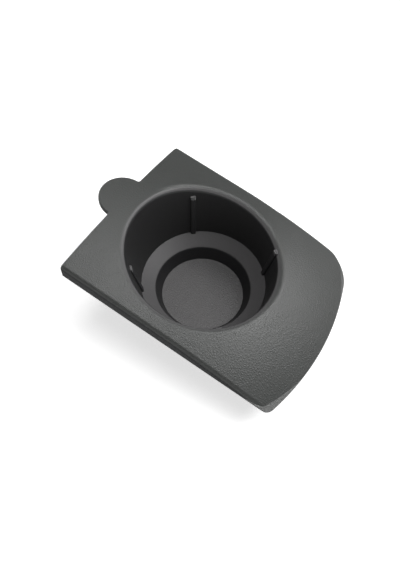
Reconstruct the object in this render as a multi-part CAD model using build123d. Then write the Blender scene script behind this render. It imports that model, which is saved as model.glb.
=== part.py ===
from build123d import *
from math import cos, degrees, radians, sin, sqrt, tan
import os

# Cup: depths are taken on the cup axis, down from the plate surface
floor_depth = 51.5
ledge_depth = 34.8
ledge_fall = 7.2
rim_radius = 49.3
ledge_radius = 43.3
recess_radius = 34.0
floor_radius = 29.7
lip_round = 3.0
ledge_round = 3.0
foot_bevel = 1.2

# Walls
wall = 2.5
inside_round = 0.5
ceiling_chords = 6

# Grip ribs on the upper wall of the cup: their tops lie in one slanted plane
rib_count = 4
rib_first_angle = 42.0
rib_width = 4.0
rib_proud = 1.2
rib_round = 1.0
rib_end_bevel = 0.5
rib_root = 1.0
rib_top_depth = 7.8
rib_fall_front = 6.0
rib_fall_near = 3.9

# Plate: lands are the plate's widths from the mouth of the cup out to its edges
plate_tilt = 8.9
crown_radius = 457.0
near_land = 10.7
far_land = 14.9
rear_land = 15.3
front_land = 43.8
end_radius = 173.0
near_corner_radius = 5.0
far_corner_radius = 28.0
rear_near_radius = 1.2
rear_far_radius = 5.0
edge_roll = 3.0
edge_bevel = 0.8
dip_start = -7.1
dip_radius = 415.0

# Skirt under the plate and the flat lip that it leaves in front
skirt_depth = 14.1
lip_thickness = 1.5

# Tab on the middle of the rear edge
tab_radius = 16.2
tab_thickness = 2.5
tab_root_round = 1.5

# Working values
rim_height = floor_depth + wall
ledge_height = rim_height - ledge_depth
upper_draft = (rim_radius - ledge_radius) / ledge_depth
near_edge = rim_radius + near_land
far_edge = rim_radius + far_land
rear_edge = rim_radius + rear_land
front_edge = rim_radius + front_land
plate_middle = (far_edge - near_edge) / 2
overrun = 20.0
cut_depth = rim_height + overrun
cut_size = 2 * (front_edge + rear_edge + tab_radius + overrun)
on_cup = Pos(0, 0, rim_height) * Rot(0, plate_tilt, 0)


def upper_wall(height):
    """Inside radius of the upper cup wall at a height."""
    return ledge_radius + (height - ledge_height) * upper_draft


def crown_point(across, inset):
    """Point of the plate's section at a distance from the cup axis, an inset under the crown."""
    return Vector(across, sqrt((crown_radius - inset) ** 2 - across**2) - crown_radius)


def under_skin(inset):
    """Everything between the long edges that lies an inset or more under the plate's top skin."""
    left = inset - near_edge
    right = far_edge - inset
    step = (right - left) / ceiling_chords
    points = [crown_point(left + number * step, inset) for number in range(ceiling_chords + 1)]
    skin = ThreePointArc(points[0], crown_point(0, inset), points[-1])
    crown = Polyline(*points) if inset else skin
    sides = Polyline(points[-1], (right, -cut_depth), (left, -cut_depth), points[0])
    section = make_face(crown + sides)
    top = section.vertices().filter_by(lambda v: v.Y > -cut_depth / 2).sort_by(Axis.X)
    section = fillet([top[0], top[-1]], max(edge_roll - inset, inside_round))
    section = Plane.YZ.offset(dip_start) * section
    back_run = rear_edge + tab_radius + dip_start + overrun
    dip_axis = Axis((dip_start, 0, -dip_radius), (0, 1, 0))
    dip_arc = degrees((front_edge - dip_start + overrun) / dip_radius)
    return extrude(section, amount=-back_run) + revolve(section, dip_axis, dip_arc)


def below_crown(depth):
    """Everything lower than a flat plane at a depth under the crown."""
    return Pos(0, 0, -depth - cut_size / 2) * Box(cut_size, cut_size, cut_size)


def ahead_of(distance):
    """Everything farther to the front than a distance from the cup axis."""
    return Pos(distance + cut_size / 2, 0, 0) * Box(cut_size, cut_size, cut_size)


def plate_plan():
    """Outline of the plate seen square on: three straight edges, an arched end and its two corners."""
    centre_x = front_edge - end_radius
    near_x = centre_x + sqrt(end_radius**2 - near_edge**2)
    far_x = centre_x + sqrt(end_radius**2 - far_edge**2)
    arched_end = ThreePointArc((near_x, -near_edge), (front_edge, 0), (far_x, far_edge))
    straight_edges = Polyline(
        (far_x, far_edge), (-rear_edge, far_edge), (-rear_edge, -near_edge), (near_x, -near_edge)
    )
    plan = make_face(arched_end + straight_edges)
    corners = plan.vertices().sort_by(Axis.X)[-2:].sort_by(Axis.Y)
    plan = fillet(corners[0], near_corner_radius)
    corner = plan.vertices().filter_by(lambda v: abs(v.Y - far_edge) < inside_round).sort_by(Axis.X)[-1]
    return fillet(corner, far_corner_radius)


def tabbed_plan(plan):
    """The plate's outline with the round tab on its rear edge."""
    whole = plan + Pos(-rear_edge, plate_middle) * Circle(tab_radius)
    roots = whole.vertices().filter_by(lambda v: abs(v.X + rear_edge) < inside_round)
    roots = [v for v in roots if abs(v.Y - plate_middle) < tab_radius + inside_round]
    return fillet(roots, tab_root_round)


def rounded_rear(plan):
    """The plate's outline with its two rear corners rounded."""
    plan = fillet(plan.vertices().sort_by_distance((-rear_edge, -near_edge, 0))[0], rear_near_radius)
    return fillet(plan.vertices().sort_by_distance((-rear_edge, far_edge, 0))[0], rear_far_radius)


def prism(plan):
    """A plan carried through the whole height of the plate and its skirt."""
    return Pos(0, 0, -cut_depth) * extrude(plan, amount=cut_depth + overrun)


def rear_edges(plate):
    """Line where the skin ends at the rear: across the end and round the tab."""
    rear = plate.edges().filter_by(lambda e: (e @ 0.5).X < inside_round - rear_edge)
    return rear.filter_by(lambda e: e.geom_type != GeomType.LINE and (e @ 0.5).Z > -skirt_depth / 2)


def plate_shell():
    """Crowned plate with rolled long edges, skirt, front lip and tab, open underneath."""
    plan = plate_plan()
    outline = tabbed_plan(plan)
    block = prism(outline) - below_crown(skirt_depth)
    plate = chamfer(rear_edges(block & under_skin(0)), edge_bevel)
    plate &= prism(rounded_rear(outline))
    plate += block & below_crown(skirt_depth - lip_thickness) & ahead_of(rim_radius)
    plate -= under_skin(tab_thickness) - ahead_of(-rear_edge)
    hollow = prism(offset(rounded_rear(plan), amount=-wall)) & under_skin(wall)
    return on_cup * (plate - hollow)


def cup_section():
    """Half section of the space in the cup: floor, recess, sloping ledge and upper wall."""
    top = rim_height + overrun
    profile = Polyline(
        (0, wall),
        (floor_radius, wall),
        (recess_radius, ledge_height - ledge_fall),
        (ledge_radius, ledge_height),
        (upper_wall(top), top),
        (0, top),
        close=True,
    )
    return make_face(profile)


def cup_outside():
    """Outer form of the cup, one wall outside its space, up to the middle of the plate's thickness."""
    section = offset(cup_section(), amount=wall, kind=Kind.INTERSECTION)
    foot = section.vertices().group_by(Axis.Y)[0].sort_by(Axis.X)[-1]
    section = chamfer(foot, foot_bevel)
    section &= Pos(cut_depth, 0) * Rectangle(2 * cut_depth, 4 * cut_depth)
    return revolve(Plane.XZ * section, Axis.Z) & on_cup * under_skin(wall / 2)


def cup_inside():
    """Space in the cup, with the inner edge of its ledge rounded."""
    section = cup_section()
    edge = section.vertices().sort_by_distance((recess_radius, ledge_height - ledge_fall, 0))[0]
    return revolve(Plane.XZ * fillet(edge, ledge_round), Axis.Z)


def rim_edges(body):
    """Edges where the upper cup wall meets the plate's skin."""

    def on_rim(edge):
        points = [edge @ 0, edge @ 0.5, edge @ 1]
        off_wall = [abs(sqrt(p.X**2 + p.Y**2) - upper_wall(p.Z)) for p in points]
        return max(off_wall) < inside_round and min(p.Z for p in points) > ledge_height + inside_round

    return body.edges().filter_by(on_rim)


def grip_rib(angle):
    """One slim rib that follows the draft of the upper wall, at an angle round the cup axis."""
    forward = rim_radius * cos(radians(angle))
    across = rim_radius * sin(radians(angle))
    fall = forward * tan(radians(rib_fall_front)) - across * tan(radians(rib_fall_near))
    top = rim_height - rib_top_depth - fall
    foot = ledge_height - rib_root
    up_wall = Vector(upper_draft, 0, 1)
    foot_plane = Plane(origin=(upper_wall(foot), 0, foot), x_dir=(0, 1, 0), z_dir=up_wall)
    nose = Pos(0, (rib_proud - rib_root) / 2) * Rectangle(rib_width, rib_proud + rib_root)
    nose = fillet(nose.vertices().sort_by(Axis.Y)[-2:], rib_round)
    bar = extrude(foot_plane * nose, amount=(top - foot) * up_wall.length)
    bar = chamfer(bar.edges().group_by(Axis.Z)[-1], rib_end_bevel)
    return Rot(0, 0, angle) * bar


body = plate_shell() + cup_outside() - cup_inside()
body = fillet(rim_edges(body), lip_round)
for number in range(rib_count):
    body += grip_rib(rib_first_angle + number * 360.0 / rib_count)

os.makedirs("parts", exist_ok=True)
export_step(body, "parts/cup_holder.step")
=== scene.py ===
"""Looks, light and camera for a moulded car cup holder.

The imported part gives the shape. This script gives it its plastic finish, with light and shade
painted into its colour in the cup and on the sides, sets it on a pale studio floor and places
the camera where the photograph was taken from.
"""

import logging
import math
from dataclasses import dataclass
from enum import Enum
from typing import Any, Callable, Dict, Optional, Tuple, Union

import bpy
from mathutils import Matrix, Vector

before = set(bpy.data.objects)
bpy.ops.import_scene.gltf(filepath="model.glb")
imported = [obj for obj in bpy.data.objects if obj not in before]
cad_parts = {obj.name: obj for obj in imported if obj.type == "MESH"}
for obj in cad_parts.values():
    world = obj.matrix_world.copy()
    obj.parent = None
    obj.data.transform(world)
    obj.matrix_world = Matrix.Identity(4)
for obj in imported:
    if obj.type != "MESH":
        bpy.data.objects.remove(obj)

LOG = logging.getLogger("cup_holder")
MM = 0.001
WHITE = (1.0, 1.0, 1.0)

# Sockets of a Mix node that mixes two colours
MIX_FACTOR, MIX_LOW, MIX_HIGH, MIX_RESULT = 0, 6, 7, 2

Colour = Tuple[float, float, float]
Operand = Union["Field", float, int]


@dataclass(frozen=True)
class Ramp:
    """Two values between which a mask goes from 0 to 1."""

    low: float
    high: float


class Field:
    """A shader value that takes part in plain arithmetic."""

    def __init__(self, tree: "ShaderTree", socket: bpy.types.NodeSocket) -> None:
        """Wraps one output socket.

        Args:
            tree: The tree that the socket belongs to.
            socket: The output socket that carries the value.
        """
        self.tree = tree
        self.socket = socket

    def __add__(self, other: Operand) -> "Field":
        """This value plus another."""
        return self.tree.maths("ADD", self, other)

    def __radd__(self, other: Operand) -> "Field":
        """A number plus this value."""
        return self.tree.maths("ADD", other, self)

    def __sub__(self, other: Operand) -> "Field":
        """This value less another."""
        return self.tree.maths("SUBTRACT", self, other)

    def __rsub__(self, other: Operand) -> "Field":
        """A number less this value."""
        return self.tree.maths("SUBTRACT", other, self)

    def __mul__(self, other: Operand) -> "Field":
        """This value times another."""
        return self.tree.maths("MULTIPLY", self, other)

    def __rmul__(self, other: Operand) -> "Field":
        """A number times this value."""
        return self.tree.maths("MULTIPLY", other, self)

    def __truediv__(self, other: Operand) -> "Field":
        """This value over another."""
        return self.tree.maths("DIVIDE", self, other)

    def __rtruediv__(self, other: Operand) -> "Field":
        """A number over this value."""
        return self.tree.maths("DIVIDE", other, self)

    def sqrt(self) -> "Field":
        """Square root of this value."""
        return self.tree.maths("SQRT", self)

    def at_least(self, other: Operand) -> "Field":
        """The larger of this value and another."""
        return self.tree.maths("MAXIMUM", self, other)

    def over(self, ramp: Ramp) -> "Field":
        """Goes smoothly from 0 to 1 over a ramp.

        Args:
            ramp: The values at which the result leaves 0 and reaches 1.

        Returns:
            The smooth step as a field.
        """
        return self.tree.node(
            "ShaderNodeMapRange",
            {"Value": self, "From Min": ramp.low, "From Max": ramp.high},
            interpolation_type="SMOOTHSTEP",
        )

    def blend(self, low: Operand, high: Operand) -> "Field":
        """Goes from low to high as this value goes from 0 to 1."""
        return low + self * (high - low)


class ShaderTree:
    """A material's or world's node tree that is written as formulas."""

    def __init__(self, owner: Union[bpy.types.Material, bpy.types.World]) -> None:
        """Empties the owner's tree.

        Args:
            owner: The material or world that the tree belongs to.
        """
        owner.use_nodes = True
        self.tree = owner.node_tree
        self.tree.nodes.clear()

    def feed(self, socket: bpy.types.NodeSocket, value: Any) -> None:
        """Links a field to an input socket, or sets the socket's own value.

        Args:
            socket: The input socket.
            value: A field, or a plain value for the socket.
        """
        if isinstance(value, Field):
            self.tree.links.new(value.socket, socket)
        elif isinstance(value, tuple) and socket.type == "RGBA":
            socket.default_value = (*value, 1.0)
        else:
            socket.default_value = value

    def node(self, kind: str, inputs: Dict[Any, Any], output: Any = 0, **settings: Any) -> Field:
        """Adds any node.

        Args:
            kind: Blender's type name of the node.
            inputs: Socket name or number to a field or a plain value.
            output: Socket name or number of the output that is returned.
            settings: Properties that are set on the node first.

        Returns:
            The chosen output as a field.
        """
        made = self.tree.nodes.new(kind)
        for name, value in settings.items():
            setattr(made, name, value)
        for key, value in inputs.items():
            self.feed(made.inputs[key], value)
        return Field(self, made.outputs[output])

    def maths(self, operation: str, *operands: Operand) -> Field:
        """Adds one maths node for fields and plain numbers."""
        return self.node("ShaderNodeMath", dict(enumerate(operands)), operation=operation)

    def mix_colour(self, factor: Operand, low: Any, high: Any) -> Field:
        """Mixes two colours.

        Args:
            factor: 0 gives the first colour and 1 the second.
            low: First colour, a field or three numbers.
            high: Second colour, a field or three numbers.

        Returns:
            The mixed colour as a field.
        """
        inputs = {MIX_FACTOR: factor, MIX_LOW: low, MIX_HIGH: high}
        return self.node("ShaderNodeMix", inputs, output=MIX_RESULT, data_type="RGBA")

    def noise(self, point: Field, scale: float, detail: float, output: Any = 0) -> Field:
        """Adds a noise texture.

        Args:
            point: Position that the noise is read at.
            scale: Size of the noise, larger for finer.
            detail: Number of finer layers.
            output: Socket name or number of the output that is returned.

        Returns:
            The noise as a field.
        """
        inputs = {"Vector": point, "Scale": scale, "Detail": detail}
        return self.node("ShaderNodeTexNoise", inputs, output=output)

    def bump(
        self, height: Field, distance: float, strength: Operand = 1.0, base: Optional[Field] = None
    ) -> Field:
        """Bends the surface's normal by a height.

        Args:
            height: Height of the relief.
            distance: Length of one unit of height in metres.
            strength: Share of the relief that is taken.
            base: Normal that is bent, or none for the surface's own.

        Returns:
            The bent normal as a field.
        """
        inputs = {"Strength": strength, "Distance": distance, "Height": height}
        if base is not None:
            inputs["Normal"] = base
        return self.node("ShaderNodeBump", inputs)

    def split(self, vector: Field) -> Tuple[Field, ...]:
        """Takes a vector apart into its three parts."""
        return tuple(self.node("ShaderNodeSeparateXYZ", {0: vector}, output=axis) for axis in "XYZ")

    def finish(self, surface: Field, kind: str = "ShaderNodeOutputMaterial") -> None:
        """Links a shader to the output."""
        self.feed(self.tree.nodes.new(kind).inputs["Surface"], surface)


@dataclass(frozen=True)
class CupShape:
    """Sizes of the moulding that the finish follows, in millimetres."""

    rim_height: float = 54.0
    rim_radius: float = 49.3
    draft: float = 0.1724
    lip_round: float = 3.0
    recess_height: float = 12.0
    floor_height: float = 2.5
    rib_top: float = 46.2
    rib_fall_front: float = 0.1051
    rib_fall_near: float = 0.0682


@dataclass(frozen=True)
class ZoneEdges:
    """Where one zone of the finish passes into the next."""

    # Shares of the normal: away from the cup axis, then upwards
    outward: Ramp = Ramp(0.2, 0.4)
    underside: Ramp = Ramp(-0.5, -0.2)
    side: Ramp = Ramp(0.15, 0.75)
    level: Ramp = Ramp(0.5, 0.7)
    # Millimetres: out from the cup wall, then up from floor and recess
    rib_face: Ramp = Ramp(-0.6, -0.3)
    mouth: Ramp = Ramp(0.1, 3.0)
    floor: Ramp = Ramp(0.3, 0.6)
    recess: Ramp = Ramp(-1.5, 0.0)
    # Far side of the cup: its direction, how it sets in round the mouth and how the painted shade
    # sets in over the floor
    far_x: float = 0.26
    far_y: float = 0.97
    far_mouth: Ramp = Ramp(-0.1, 0.5)
    floor_painted_shade: Ramp = Ramp(0.0, 34.0)


@dataclass(frozen=True)
class FinishAndPaintedLight:
    """Numbers of one zone: its finish and its colour, which inside the cup and on the sides carries
    painted light and shade.
    """

    colour: Colour
    roughness: float
    grain: float


class Zone(Enum):
    """Parts of the moulding that differ in finish, and in painted light and shade."""

    PLATE = FinishAndPaintedLight(colour=(0.047, 0.0497, 0.0475), roughness=0.40, grain=1.05)
    # Sides: the darker colour is painted shade on faces that turn away from up; the lower sheen and
    # rougher surface are the finish.
    SIDES = FinishAndPaintedLight(colour=(0.026, 0.027, 0.028), roughness=0.55, grain=0.6)
    # Inside the cup the plastic is the plate's own: the wall's darker colour is painted shade, and
    # the ribs take the same painted shade, a little lighter than the wall.
    UPPER_WALL = FinishAndPaintedLight(colour=(0.021, 0.021, 0.0215), roughness=0.44, grain=0.2)
    RIBS = FinishAndPaintedLight(colour=(0.025, 0.025, 0.026), roughness=0.44, grain=0.2)
    # Ledge: the lighter colour is painted light on a face that looks up.
    LEDGE = FinishAndPaintedLight(colour=(0.098, 0.096, 0.098), roughness=0.44, grain=0.5)
    # Recess wall: the colour, darker than the upper wall's, is painted shade.
    RECESS_WALL = FinishAndPaintedLight(colour=(0.015, 0.015, 0.016), roughness=0.44, grain=0.2)
    # Floor: the lighter colour is painted light on a face that looks up.
    FLOOR = FinishAndPaintedLight(colour=(0.076, 0.074, 0.075), roughness=0.44, grain=2.8)
    # Far part of the floor: the darker colour is painted shade.
    FLOOR_PAINTED_SHADE = FinishAndPaintedLight(colour=(0.036, 0.035, 0.036), roughness=0.44, grain=2.8)


@dataclass(frozen=True)
class ZoneMasks:
    """Fields from 0 to 1 that tell the zones of the moulding apart and place the painted light and
    shade.
    """

    inside: Field
    side: Field
    level: Field
    low: Field
    rib: Field
    floor_painted_shade: Field
    far_mouth: Field


@dataclass(frozen=True)
class LeatherGrain:
    """Rounded cells between creases, with fine noise, in millimetres."""

    depth: float = 0.055
    cell: float = 1.5
    cell_share: float = 0.8
    crease: Ramp = Ramp(0.0, 0.35)
    wander: float = 0.9
    wander_scale: float = 0.7
    fine_share: float = 0.35
    fine_scale: float = 2.6
    detail: float = 2.0

    def height(self, tree: ShaderTree, point: Field) -> Field:
        """Builds the grain.

        Args:
            tree: The material's tree.
            point: Position on the part in millimetres.

        Returns:
            Height of the grain from 0 to about 1.
        """
        wander = tree.noise(point, self.wander_scale, self.detail, output="Color")
        reach = (self.wander, self.wander, self.wander)
        moved = tree.node(
            "ShaderNodeVectorMath", {0: wander, 1: reach, 2: point}, operation="MULTIPLY_ADD"
        )
        crease = tree.node(
            "ShaderNodeTexVoronoi",
            {"Vector": moved, "Scale": 1.0 / self.cell},
            feature="DISTANCE_TO_EDGE",
        )
        fine = tree.noise(point, self.fine_scale, self.detail)
        return crease.over(self.crease) * self.cell_share + fine * self.fine_share


@dataclass(frozen=True)
class SoftForms:
    """Small forms of the mouth and the ribs that the shading carries on, in millimetres."""

    lip_run: float = 5.2
    lip_share: float = 1.73
    lip_bend: float = 0.099
    tip_length: float = 2.4
    tip_slope: float = 1.2


@dataclass(frozen=True)
class Sheen:
    """Gloss of the plastic and the broad patches in it."""

    refraction: float = 1.5
    matt_level: float = 0.04
    patch_scale: float = 0.09
    patch_detail: float = 3.0
    patch_middle: float = 0.5
    patch_spread: float = 0.06


class GrainedPlastic:
    """Dark moulded plastic with a leather grain on the plate and a plainer cup, with light and
    shade painted into the colour inside the cup and on the sides.
    """

    shape: CupShape = CupShape()
    edges: ZoneEdges = ZoneEdges()
    grain: LeatherGrain = LeatherGrain()
    forms: SoftForms = SoftForms()
    sheen: Sheen = Sheen()

    def __init__(self, name: str) -> None:
        """Starts the material with the position on the part and its place in the cup.

        Args:
            name: Name of the material.
        """
        self.material = bpy.data.materials.new(name)
        self.tree = ShaderTree(self.material)
        place = self.tree.node("ShaderNodeTexCoord", {}, output="Object")
        self.point = self.tree.node(
            "ShaderNodeVectorMath", {0: place, "Scale": 1.0 / MM}, operation="SCALE"
        )
        self.x, self.y, self.z = self.tree.split(self.point)
        self.radius = (self.x * self.x + self.y * self.y).sqrt()
        rise = self.z - self.shape.rim_height
        self.off_wall = self.radius - (self.shape.rim_radius + rise * self.shape.draft)
        self.land = self.off_wall.at_least(0.0)

    def build(self) -> bpy.types.Material:
        """Makes the material.

        Returns:
            The finished material.
        """
        tree, sheen = self.tree, self.sheen
        masks = self.masks()
        patches = tree.noise(self.point, sheen.patch_scale, sheen.patch_detail)
        uneven = (patches - sheen.patch_middle) * sheen.patch_spread
        traits = {
            "Base Color": self.pick(masks, "colour", tree.mix_colour),
            "Roughness": self.pick(masks, "roughness", Field.blend) + uneven,
            "Normal": self.relief(masks),
            "IOR": sheen.refraction,
        }
        satin = tree.node("ShaderNodeBsdfPrincipled", traits)
        dull = {**traits, "Specular IOR Level": sheen.matt_level}
        matt = tree.node("ShaderNodeBsdfPrincipled", dull)
        tree.finish(tree.node("ShaderNodeMixShader", {0: masks.side, 1: satin, 2: matt}))
        return self.material

    def relief(self, masks: ZoneMasks) -> Field:
        """Bends the normal by the grain, the soft lip and the slope of the rib tips.

        Args:
            masks: The fields that tell the zones apart.

        Returns:
            The bent normal as a field.
        """
        tree, forms = self.tree, self.forms
        height = self.grain.height(tree, self.point) * self.pick(masks, "grain", Field.blend)
        grained = tree.bump(height, self.grain.depth * MM)
        run = (forms.lip_run - self.land).at_least(0.0)
        lip = (self.shape.lip_round - self.land).at_least(0.0)
        rolled = (run * run - lip * lip * forms.lip_share) * -forms.lip_bend
        softened = tree.bump(rolled, MM, masks.far_mouth, grained)
        falls = self.x * self.shape.rib_fall_front - self.y * self.shape.rib_fall_near
        tip = (self.z - self.shape.rib_top + falls + forms.tip_length).at_least(0.0)
        return tree.bump(tip * masks.rib * -forms.tip_slope, MM, 1.0, softened)

    def masks(self) -> ZoneMasks:
        """Finds where the cup is, where it faces up, where its recess is and where the far floor
        takes painted shade.

        Returns:
            The masks of the zones.
        """
        edges = self.edges
        facing = self.tree.node("ShaderNodeNewGeometry", {}, output="Normal")
        along, across, up = self.tree.split(facing)
        outward = ((along * self.x + across * self.y) / self.radius).over(edges.outward)
        outer = outward.at_least(1.0 - up.over(edges.underside))
        inside = (1.0 - self.land.over(edges.mouth)) * (1.0 - outer)
        # level: faces that look up inside the cup, whose lighter colour is painted light
        level = up.over(edges.level)
        on_floor = 1.0 - (self.z - self.shape.floor_height).over(edges.floor)
        in_recess = 1.0 - (self.z - self.shape.recess_height).over(edges.recess)
        far = self.x * edges.far_x + self.y * edges.far_y
        return ZoneMasks(
            inside=inside,
            # side: faces turned away from up outside the cup, which take painted shade in their
            # colour and a matt sheen
            side=(1.0 - up.over(edges.side)) * (1.0 - inside),
            level=level,
            # low: the recess wall and the floor, which take their own painted shade and painted
            # light
            low=level.blend(in_recess, on_floor),
            rib=1.0 - self.off_wall.over(edges.rib_face),
            # the far part of the floor, which takes painted shade
            floor_painted_shade=far.over(edges.floor_painted_shade),
            far_mouth=(far / self.radius).over(edges.far_mouth),
        )

    @staticmethod
    def pick(masks: ZoneMasks, trait: str, mix: Callable[[Field, Any, Any], Field]) -> Field:
        """Chooses one trait of the finish by zone; for the colour this places the painted light and
        shade.

        Args:
            masks: The fields that tell the zones apart.
            trait: Name of the trait in the finishes.
            mix: Function that mixes two values by a field.

        Returns:
            The trait as a field.
        """
        of = {zone: getattr(zone.value, trait) for zone in Zone}
        # Colours inside the cup are painted light and shade: darker walls, ribs and recess, lighter
        # ledge and floor, darker far floor; outside, the sides' darker colour is painted shade.
        upper = mix(masks.rib, of[Zone.UPPER_WALL], of[Zone.RIBS])
        floor = mix(masks.floor_painted_shade, of[Zone.FLOOR], of[Zone.FLOOR_PAINTED_SHADE])
        walls = mix(masks.low, upper, of[Zone.RECESS_WALL])
        levels = mix(masks.low, of[Zone.LEDGE], floor)
        outside = mix(masks.side, of[Zone.PLATE], of[Zone.SIDES])
        return mix(masks.inside, outside, mix(masks.level, walls, levels))


def put(name: str, data: bpy.types.ID) -> bpy.types.Object:
    """Adds an object to the scene.

    Args:
        name: Name of the object.
        data: Its mesh, lamp or camera data.

    Returns:
        The new object.
    """
    thing = bpy.data.objects.new(name, data)
    bpy.context.scene.collection.objects.link(thing)
    LOG.info("%s is in place", name)
    return thing


@dataclass(frozen=True)
class SoftBox:
    """One square soft box that looks at the part, with its angles in degrees."""

    name: str
    azimuth: float
    elevation: float
    power: float
    size: float
    distance: float = 1.0
    aim: Tuple[float, float, float] = (0.0, 0.0, 0.04)

    def build(self) -> None:
        """Makes the lamp."""
        lamp = bpy.data.lights.new(self.name, "AREA")
        lamp.shape = "SQUARE"
        lamp.size = self.size
        lamp.energy = self.power
        turn, rise = math.radians(self.azimuth), math.radians(self.elevation)
        level = math.cos(rise)
        away = Vector((level * math.cos(turn), level * math.sin(turn), math.sin(rise)))
        thing = put(self.name, lamp)
        thing.location = Vector(self.aim) + away * self.distance
        thing.rotation_mode = "QUATERNION"
        thing.rotation_quaternion = away.to_track_quat("Z", "Y")


@dataclass(frozen=True)
class Studio:
    """Pale floor, soft boxes, and a surround that is white low down and dim above."""

    boxes: Tuple[SoftBox, ...] = (
        SoftBox("key", azimuth=49.0, elevation=48.0, power=3.5, size=0.38),
        SoftBox("right", azimuth=32.0, elevation=63.0, power=2.6, size=0.33),
        SoftBox("overhead", azimuth=150.0, elevation=82.0, power=3.75, size=0.42),
        SoftBox("far_left", azimuth=122.0, elevation=60.0, power=0.5, size=0.35),
    )
    floor_size: float = 6.0
    floor_colour: Colour = (0.80, 0.80, 0.80)
    floor_lift: float = 0.62
    surround_strength: float = 1.0
    surround_end: Ramp = Ramp(0.30, 0.45)
    fill_strength: float = 0.04

    def build(self) -> None:
        """Makes floor, lamps and surround."""
        self.floor()
        for box in self.boxes:
            box.build()
        self.surround()

    def floor(self) -> None:
        """Makes the floor that the part stands on."""
        half = self.floor_size / 2
        mesh = bpy.data.meshes.new("floor")
        corners = [(-half, -half, 0.0), (half, -half, 0.0), (half, half, 0.0), (-half, half, 0.0)]
        mesh.from_pydata(corners, [], [(0, 1, 2, 3)])
        thing = put("floor", mesh)
        mesh.materials.append(self.paper())

    def paper(self) -> bpy.types.Material:
        """Makes the floor's white paper, lifted for the rays that see it as background.

        Returns:
            The finished material.
        """
        material = bpy.data.materials.new("floor_paper")
        tree = ShaderTree(material)
        camera, mirrored, refracted = (
            tree.node("ShaderNodeLightPath", {}, output=ray)
            for ray in ("Is Camera Ray", "Is Glossy Ray", "Is Transmission Ray")
        )
        lift = camera.at_least(mirrored).at_least(refracted) * self.floor_lift
        paper = tree.node("ShaderNodeBsdfDiffuse", {"Color": self.floor_colour})
        glow = tree.node("ShaderNodeEmission", {"Color": WHITE, "Strength": lift})
        tree.finish(tree.node("ShaderNodeAddShader", {0: paper, 1: glow}))
        return material

    def surround(self) -> None:
        """Makes the world, the same for every ray."""
        world = bpy.data.worlds.new("studio")
        bpy.context.scene.world = world
        tree = ShaderTree(world)
        height = tree.split(tree.node("ShaderNodeTexCoord", {}, output="Generated"))[2]
        strength = height.over(self.surround_end).blend(self.surround_strength, self.fill_strength)
        light = tree.node("ShaderNodeBackground", {"Color": WHITE, "Strength": strength})
        tree.finish(light, "ShaderNodeOutputWorld")
        LOG.info("surround is in place")


@dataclass(frozen=True)
class PhotoCamera:
    """Close camera at the photograph's angle."""

    place: Tuple[float, float, float] = (0.06637, -0.12718, 0.25980)
    right: Tuple[float, float, float] = (0.8484, 0.5282, 0.0346)
    up: Tuple[float, float, float] = (-0.4721, 0.7253, 0.5011)
    focal_pixels: float = 400.0
    long_side_pixels: float = 570.0
    sensor: float = 36.0
    nearest: float = 0.01

    def build(self) -> None:
        """Makes the camera and sets it as the scene's."""
        data = bpy.data.cameras.new("photo_camera")
        data.sensor_width = self.sensor
        data.lens = self.focal_pixels * self.sensor / self.long_side_pixels
        data.clip_start = self.nearest
        across = Vector(self.right).normalized()
        back = across.cross(Vector(self.up)).normalized()
        turn = Matrix((across, back.cross(across), back)).transposed()
        thing = put("photo_camera", data)
        thing.matrix_world = Matrix.Translation(Vector(self.place)) @ turn.to_4x4()
        bpy.context.scene.camera = thing


def main() -> None:
    """Builds the scene in order."""
    logging.basicConfig(level=logging.INFO, format="%(name)s: %(message)s")
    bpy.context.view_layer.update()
    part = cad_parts["cup_holder"]
    plastic = GrainedPlastic("grained_plastic_look").build()
    part.material_slots[0].material = plastic
    LOG.info("%s is dressed in %s", part.name, plastic.name)
    Studio().build()
    PhotoCamera().build()
    bpy.context.scene.view_settings.view_transform = "Standard"


if __name__ == "__main__":
    main()
